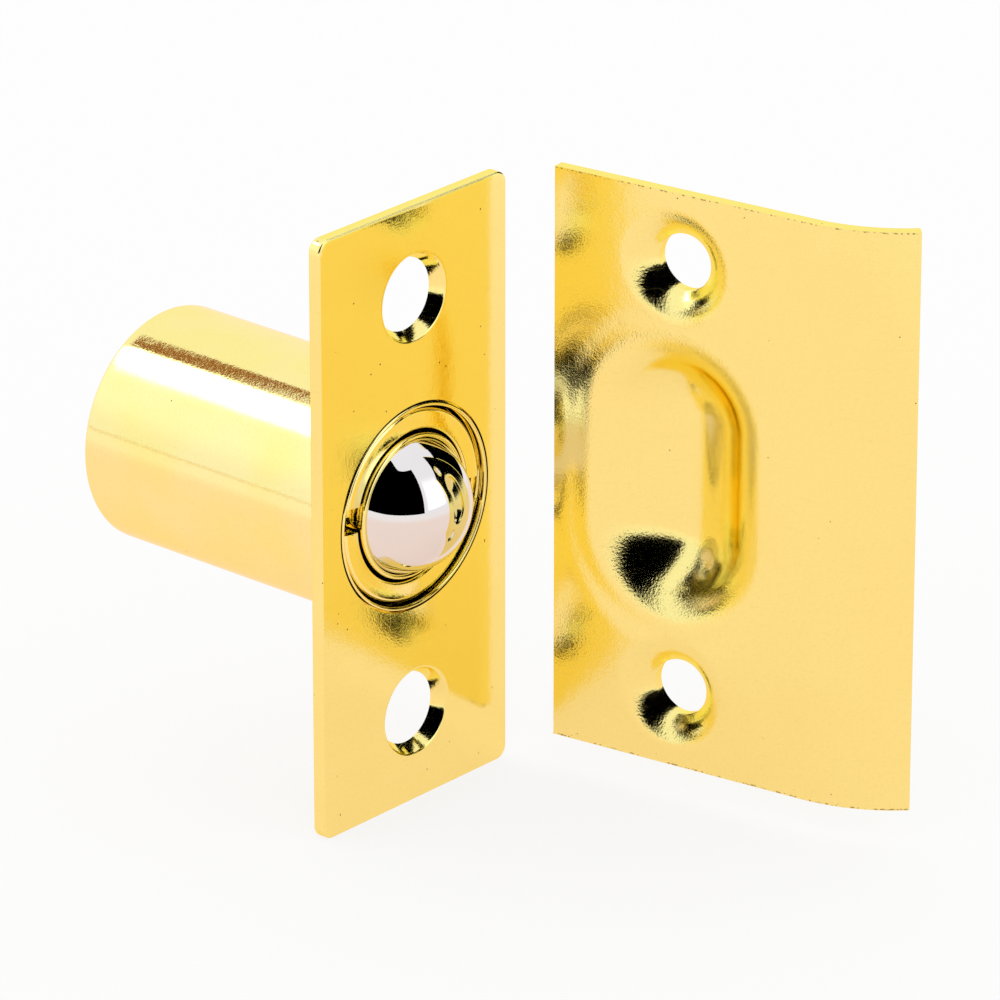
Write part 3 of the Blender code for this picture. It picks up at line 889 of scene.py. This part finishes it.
def bumped(tree, height, distance, normal=None):
    """A normal that a height moves, on top of another one if given."""
    bump = tree.nodes.new("ShaderNodeBump")
    bump.inputs["Strength"].default_value = 1.0
    if isinstance(distance, float):
        bump.inputs["Distance"].default_value = distance
    else:
        tree.links.new(distance, bump.inputs["Distance"])
    tree.links.new(height, bump.inputs["Height"])
    if normal:
        tree.links.new(normal, bump.inputs["Normal"])
    return bump.outputs["Normal"]


def mesh_mark(tree, name):
    """A value kept on the mesh's points, 0 on a mesh that has none."""
    node = tree.nodes.new("ShaderNodeAttribute")
    node.attribute_name = name
    return node.outputs["Fac"]


def worn_rim(tree, place, wear):
    """Ragged dark flakes in a narrow band beside a sheared edge."""
    rim_start = mapped(tree, wear, *RIM_START_SPAN)
    rim_end = mapped(tree, wear, *RIM_END_SPAN, 1.0, 0.0)
    rim = combined(tree, "MULTIPLY", rim_start, rim_end)
    flakes = noise(tree, place, RIM_NOISE_SCALE, RIM_NOISE_DETAIL)
    flakes = combined(tree, "ADD", flakes, combined(tree, "MULTIPLY", rim, RIM_SHARE))
    return combined(tree, "MULTIPLY", mapped(tree, flakes, *RIM_NOISE_SPAN, 0.0, RIM_STRENGTH), rim)


def dark_marks(tree, place):
    """Specks and short dashes all over, more of them where the rim is worn, and its flakes."""
    wear = mesh_mark(tree, WEAR_NAME)
    share = mapped(tree, wear, 0.0, 1.0, SPECK_SHARE, SPECK_SHARE_EDGE)
    dark = specks(tree, place, *FINE_SPECKS, share)
    dark = combined(tree, "MAXIMUM", dark, specks(tree, place, *COARSE_SPECKS, share))
    dashes = specks(tree, place, DASH_SCALE, DASH_SIZE, DASH_SHARE, DASH_STRETCH)
    dark = combined(tree, "MAXIMUM", dark, dashes)
    return combined(tree, "MAXIMUM", dark, worn_rim(tree, place, wear))


def hairlines(tree, place):
    """1 on the fine scratches and 0 beside them."""
    lines = []
    for stretch, turn, span in HAIRLINES:
        lines.append(mapped(tree, noise(tree, place, 1.0, 1.0, stretch, turn), *span))
    return combined(tree, "MAXIMUM", *lines)


def gold_material(name, roughness, grain, colour_here=GOLD, rim_tint=GOLD):
    """Bright brass plate with specks and hairlines, and orange-peel grain where it was stretched."""
    material, tree, shader = new_material(name)
    coordinates = tree.nodes.new("ShaderNodeTexCoord")
    place = coordinates.outputs["Object"]

    drift = mapped(tree, noise(tree, place, DRIFT_SCALE), *DRIFT_SPAN)
    colour = mixed_colour(tree, drift, colour_here, GOLD_WARM)
    dull = mapped(tree, noise(tree, place, DULL_SCALE), *DULL_SPAN, 0.0, DULL_SHARE)
    colour = mixed_colour(tree, dull, colour, GOLD_DULL)
    dark = dark_marks(tree, place)
    colour = mixed_colour(tree, dark, colour, SPECK_COLOUR)
    tree.links.new(colour, shader.inputs["Base Color"])
    shader.inputs["Metallic"].default_value = 1.0
    shader.inputs["Specular Tint"].default_value = (*rim_tint, 1.0)

    rough = combined(tree, "MULTIPLY", hairlines(tree, place), HAIRLINE_ROUGHNESS)
    rough = combined(tree, "ADD", rough, roughness)
    rough = combined(tree, "ADD", rough, combined(tree, "MULTIPLY", dark, SPECK_ROUGHNESS))
    tree.links.new(rough, shader.inputs["Roughness"])

    stretch = mesh_mark(tree, STRETCH_NAME)
    fine_height = combined(tree, "ADD", combined(tree, "MULTIPLY", stretch, STRETCH_GRAIN), grain)
    normal = bumped(tree, noise(tree, place, BROAD_GRAIN_SCALE), BROAD_GRAIN * grain / FINE_GRAIN)
    normal = bumped(tree, noise(tree, place, FINE_GRAIN_SCALE), fine_height, normal)
    tree.links.new(normal, shader.inputs["Normal"])
    return material


def steel_material(name, colour, roughness):
    """Polished steel, a little darker in slow patches."""
    material, tree, shader = new_material(name)
    coordinates = tree.nodes.new("ShaderNodeTexCoord")
    drift = noise(tree, coordinates.outputs["Object"], STEEL_DRIFT_SCALE, STEEL_DRIFT_DETAIL)
    darker = tuple(STEEL_DARKER * part for part in colour)
    tree.links.new(mixed_colour(tree, drift, colour, darker), shader.inputs["Base Color"])
    shader.inputs["Metallic"].default_value = 1.0
    shader.inputs["Roughness"].default_value = roughness
    return material


def clear_of_the_lip(material):
    """Leans the ball's shading outwards beside the lip, so that it mirrors the room and not its own seat."""
    tree = material.node_tree
    link = tree.links.new
    coordinates = tree.nodes.new("ShaderNodeTexCoord")
    split = tree.nodes.new("ShaderNodeSeparateXYZ")
    link(coordinates.outputs["Object"], split.inputs["Vector"])
    lean = mapped(tree, split.outputs["X"], BALL_LEAN_REAR, BALL_LEAN_FRONT, BALL_LEAN, 0.0)
    outwards = tree.nodes.new("ShaderNodeCombineXYZ")
    link(lean, outwards.inputs["X"])
    geometry = tree.nodes.new("ShaderNodeNewGeometry")
    added = tree.nodes.new("ShaderNodeVectorMath")
    added.operation = "ADD"
    link(geometry.outputs["Normal"], added.inputs[0])
    link(outwards.outputs["Vector"], added.inputs[1])
    unit = tree.nodes.new("ShaderNodeVectorMath")
    unit.operation = "NORMALIZE"
    link(added.outputs["Vector"], unit.inputs[0])
    link(unit.outputs["Vector"], tree.nodes["Principled BSDF"].inputs["Normal"])


def background_world():
    """White for the camera and the light; the metal sees it with a trace of pink."""
    world = bpy.data.worlds.new("studio")
    bpy.context.scene.world = world
    world.use_nodes = True
    tree = world.node_tree
    background = tree.nodes["Background"]
    path = tree.nodes.new("ShaderNodeLightPath")
    colour = mixed_colour(tree, path.outputs["Is Glossy Ray"], WHITE, ROOM_COLOUR)
    tree.links.new(colour, background.inputs["Color"])
    background.inputs["Strength"].default_value = 1.0


def floor_glow(tree, path):
    """White for the camera; for the metal a painted warm pool of bounce light and shade near the object,
    paler far from it.
    """
    glow = tree.nodes.new("ShaderNodeEmission")
    coordinates = tree.nodes.new("ShaderNodeTexCoord")
    distance = tree.nodes.new("ShaderNodeVectorMath")
    distance.operation = "LENGTH"
    tree.links.new(coordinates.outputs["Object"], distance.inputs[0])
    far = mapped(tree, distance.outputs["Value"], FLOOR_NEAR, FLOOR_FAR)
    seen_in_metal = mixed_colour(tree, far, NEAR_FLOOR_PAINTED_BOUNCE, FAR_FLOOR_COLOUR)
    glossy = path.outputs["Is Glossy Ray"]
    tree.links.new(mixed_colour(tree, glossy, WHITE, seen_in_metal), glow.inputs["Color"])
    tree.links.new(mapped(tree, glossy, 0.0, 1.0, 1.0, FLOOR_GLOW), glow.inputs["Strength"])
    return glow


def make_floor():
    """A pale floor that keeps the object's shadow in a share of its paint, under a white glow."""
    corners = [(x * FLOOR_REACH, y * FLOOR_REACH, FLOOR_Z) for x, y in ((-1, -1), (1, -1), (1, 1), (-1, 1))]
    floor = mesh_object("floor", corners, [(0, 1, 2, 3)], smooth=False)
    material, tree, shader = new_material("pale floor")
    shader.inputs["Base Color"].default_value = (*FLOOR_PAINT, 1.0)
    shader.inputs["Roughness"].default_value = FLOOR_ROUGHNESS
    shader.inputs["Specular IOR Level"].default_value = 0.0
    path = tree.nodes.new("ShaderNodeLightPath")
    glow = floor_glow(tree, path)
    sees_glow = combined(tree, "MAXIMUM", path.outputs["Is Camera Ray"], path.outputs["Is Glossy Ray"])
    sees_glow = combined(tree, "MAXIMUM", sees_glow, path.outputs["Is Transmission Ray"])
    mix = tree.nodes.new("ShaderNodeMixShader")
    tree.links.new(combined(tree, "MULTIPLY", sees_glow, FLOOR_GLOW_SHARE), mix.inputs["Fac"])
    tree.links.new(shader.outputs["BSDF"], mix.inputs[1])
    tree.links.new(glow.outputs["Emission"], mix.inputs[2])
    tree.links.new(mix.outputs["Shader"], tree.nodes["Material Output"].inputs["Surface"])
    floor.data.materials.append(material)


def direction(turn, rise):
    """A unit vector; turn is degrees from the camera's side towards its right, rise above level."""
    heading = CAMERA_TURN + math.radians(turn)
    level = math.cos(math.radians(rise))
    return Vector((math.sin(heading) * level, -math.cos(heading) * level, math.sin(math.radians(rise))))


def between(first, second, part):
    return [a + (b - a) * part for a, b in zip(first, second)]


def card_rows(corners, soft):
    """Rows of points on a card between four directions, and how strongly each point glows."""
    low_left, low_right, high_right, high_left = (direction(*corner) for corner in corners)
    rows = []
    glows = []
    for rise_step in range(CARD_STEPS + 1):
        up = rise_step / CARD_STEPS
        left = between(low_left, high_left, up)
        right = between(low_right, high_right, up)
        row = []
        for turn_step in range(CARD_STEPS + 1):
            along = turn_step / CARD_STEPS
            row.append(tuple(Vector(between(left, right, along)).normalized() * CARD_DISTANCE))
            glow = 1.0
            for gap, share in zip((along, 1 - along, up, 1 - up), soft):
                if share:
                    glow *= smooth_step(gap / share)
            glows.append(glow)
        rows.append(row)
    return rows, glows


def card_material(name, colour, strength):
    """A glow that runs out into nothing where the card's edge is soft."""
    material, tree = new_material(name)[:2]
    emission = tree.nodes.new("ShaderNodeEmission")
    emission.inputs["Color"].default_value = (*colour, 1.0)
    emission.inputs["Strength"].default_value = strength
    clear = tree.nodes.new("ShaderNodeBsdfTransparent")
    mix = tree.nodes.new("ShaderNodeMixShader")
    tree.links.new(mesh_mark(tree, GLOW_NAME), mix.inputs["Fac"])
    tree.links.new(clear.outputs["BSDF"], mix.inputs[1])
    tree.links.new(emission.outputs["Emission"], mix.inputs[2])
    tree.links.new(mix.outputs["Shader"], tree.nodes["Material Output"].inputs["Surface"])
    return material


def make_card(name, corners, colour, strength, soft):
    """A curved card that the metal sees and the camera doesn't.

    Its corners are (turn, rise) pairs: low left, low right, high right, high left. The soft
    shares say how far it fades in from its left, right, low and high edge.
    """
    rows, glows = card_rows(corners, soft)
    points = []
    faces = []
    add_rows(points, faces, rows, closed=False)
    card = mesh_object(name, points, faces, smooth=False)
    add_values(card, GLOW_NAME, glows)
    card.data.materials.append(card_material(name, colour, strength))
    card.visible_camera = False
    card.visible_diffuse = False
    card.visible_shadow = False


def make_camera():
    data = bpy.data.cameras.new("camera")
    data.lens = CAMERA_LENS
    data.sensor_width = CAMERA_SENSOR
    data.sensor_fit = "HORIZONTAL"
    data.clip_start = CAMERA_CLIP_START
    data.clip_end = CAMERA_CLIP_END
    camera = add_object("camera", data)
    camera.location = CAMERA_PLACE
    camera.rotation_euler = (math.pi / 2 - CAMERA_PITCH, 0.0, CAMERA_TURN)
    bpy.context.scene.camera = camera


def dress():
    """Makes the pieces, ties each to its body and hides the imported node that it stands for."""
    plate_gold = gold_material("bright brass plate", PLATE_ROUGHNESS, PLATE_GRAIN)
    strike_gold = gold_material("bright brass strike", STRIKE_ROUGHNESS, STRIKE_GRAIN)
    tube_gold = gold_material("bright brass tube", TUBE_ROUGHNESS, TUBE_GRAIN, TUBE_GOLD, TUBE_RIM_TINT)
    chrome = steel_material("polished steel", BALL_COLOUR, BALL_ROUGHNESS)
    clear_of_the_lip(chrome)
    steel = steel_material("spring steel", SPRING_COLOUR, SPRING_ROUGHNESS)
    pieces = [
        (make_faceplate(plate_gold), "case", "faceplate", "brass_plate"),
        (make_case(tube_gold), "case", "case", "brass_plate"),
        (make_strike(strike_gold), "case", "strike_plate", "brass_plate"),
        (make_ring(tube_gold), "adjusting_ring", "adjusting_ring", "brass_plate"),
        (make_cage(tube_gold), "cartridge", "ball_cage", "brass_plate"),
        (make_ball(chrome), "ball", "ball", "polished_steel"),
    ]
    spring = make_spring(steel)
    pieces.append((spring, "cartridge", "spring", "spring_steel"))
    for piece, body, node, slot in pieces:
        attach(piece, body)
        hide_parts(node)
    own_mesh(spring)
    set_material(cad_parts["spring_seat"], steel)


clear_defaults()
dress()
background_world()
make_floor()
for card in CARDS:
    make_card(*card)
make_camera()
bpy.context.scene.view_settings.view_transform = "Standard"
